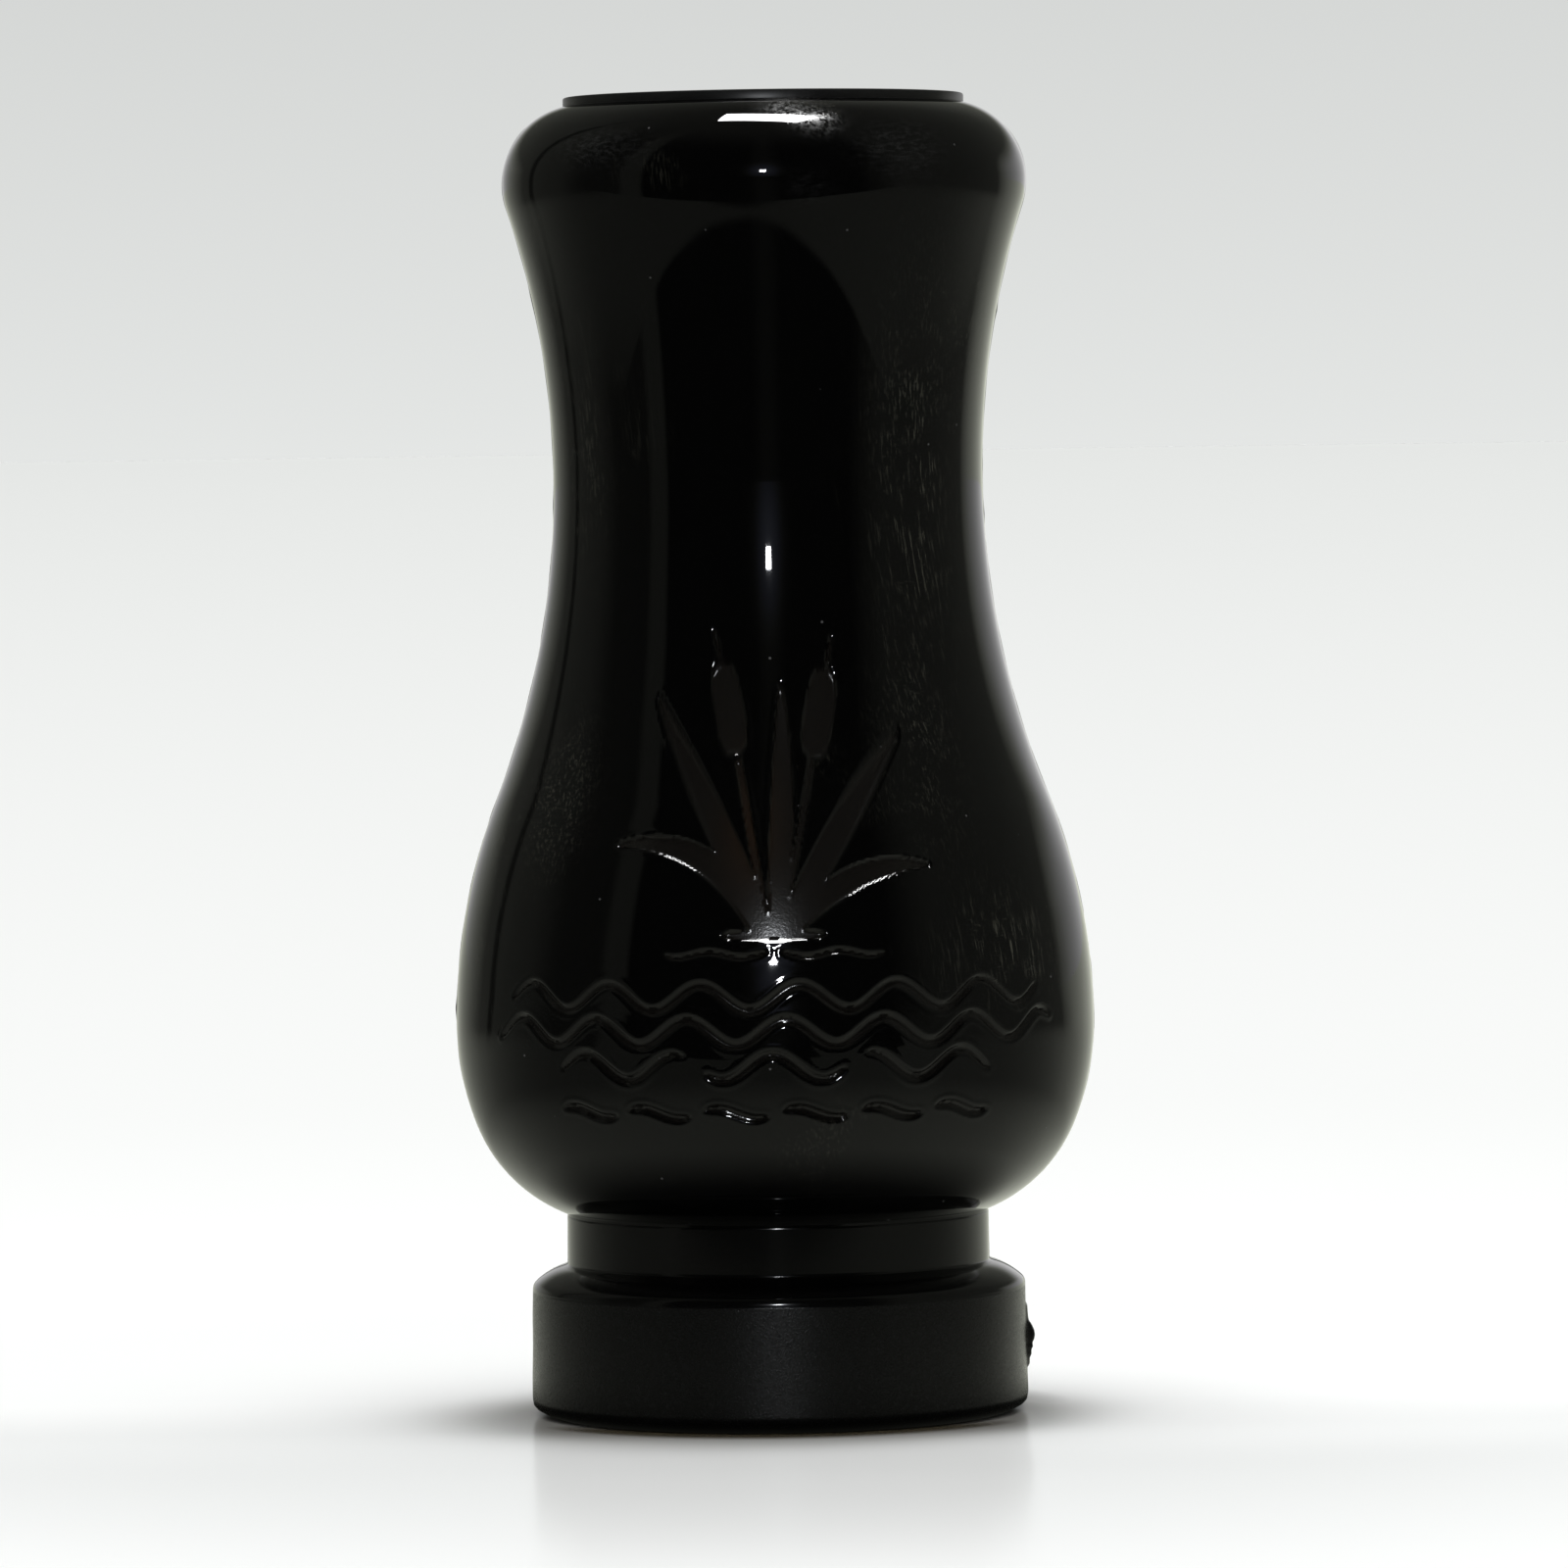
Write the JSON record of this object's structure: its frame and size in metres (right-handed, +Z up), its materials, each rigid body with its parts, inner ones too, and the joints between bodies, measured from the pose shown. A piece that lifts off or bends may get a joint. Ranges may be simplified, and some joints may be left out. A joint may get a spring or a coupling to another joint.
{
  "type": "short-reed goose call",
  "caption": "Blown field call for hunting: a waisted barrel over a socketed end insert, with a tone channel, reed and wedge inside",
  "frame": {"origin": "centre of the foot face that the call stands on", "axes": "+Z runs up the call's axis from the foot to the mouth, the engraved front and the tone board face -Y, and the broken gate stub is on +X"},
  "size_m": [0.0378, 0.0378, 0.078],
  "materials": {
    "barrel_gloss": "deep gloss black injection-moulded plastic with fine handling scratches",
    "insert_satin": "satin black moulded plastic with a fine sparkle grain on the collar and a smoother neck",
    "seal": "black nitrile rubber, lightly greased",
    "tone_channel": "machined natural acetal with fine tool lines",
    "reed_film": "smooth polyester film",
    "wedge": "black acetal, fine tool lines"
  },
  "bodies": {
    "insert": {"insert": "insert_satin"},
    "seals": {"o_ring_lower": "seal", "o_ring_upper": "seal"},
    "barrel": {"barrel": "barrel_gloss"},
    "gut": {"tone_channel": "tone_channel", "wedge": "wedge"},
    "reed": {"reed": "reed_film"}
  },
  "joints": [
    {"name": "barrel_twist", "type": "hinge", "parent": "insert", "child": "seals", "pos_m": [0, 0, 0.0188], "axis": [0, 0, 1], "continuous": true},
    {"name": "barrel_pull", "type": "slide", "parent": "seals", "child": "barrel", "axis": [0, 0, 1], "range_m": [0, 0.05]},
    {"name": "gut_pull", "type": "slide", "parent": "insert", "child": "gut", "axis": [0, 0, 1], "range_m": [0, 0.018]},
    {"name": "reed_flex", "type": "hinge", "parent": "gut", "child": "reed", "pos_m": [0, -0.00254, 0.0428], "axis": [-1, 0, 0], "range_deg": [0, 4.5], "stiffness_Nm_per_rad": 0.002, "deforming": ["reed"]}
  ]
}
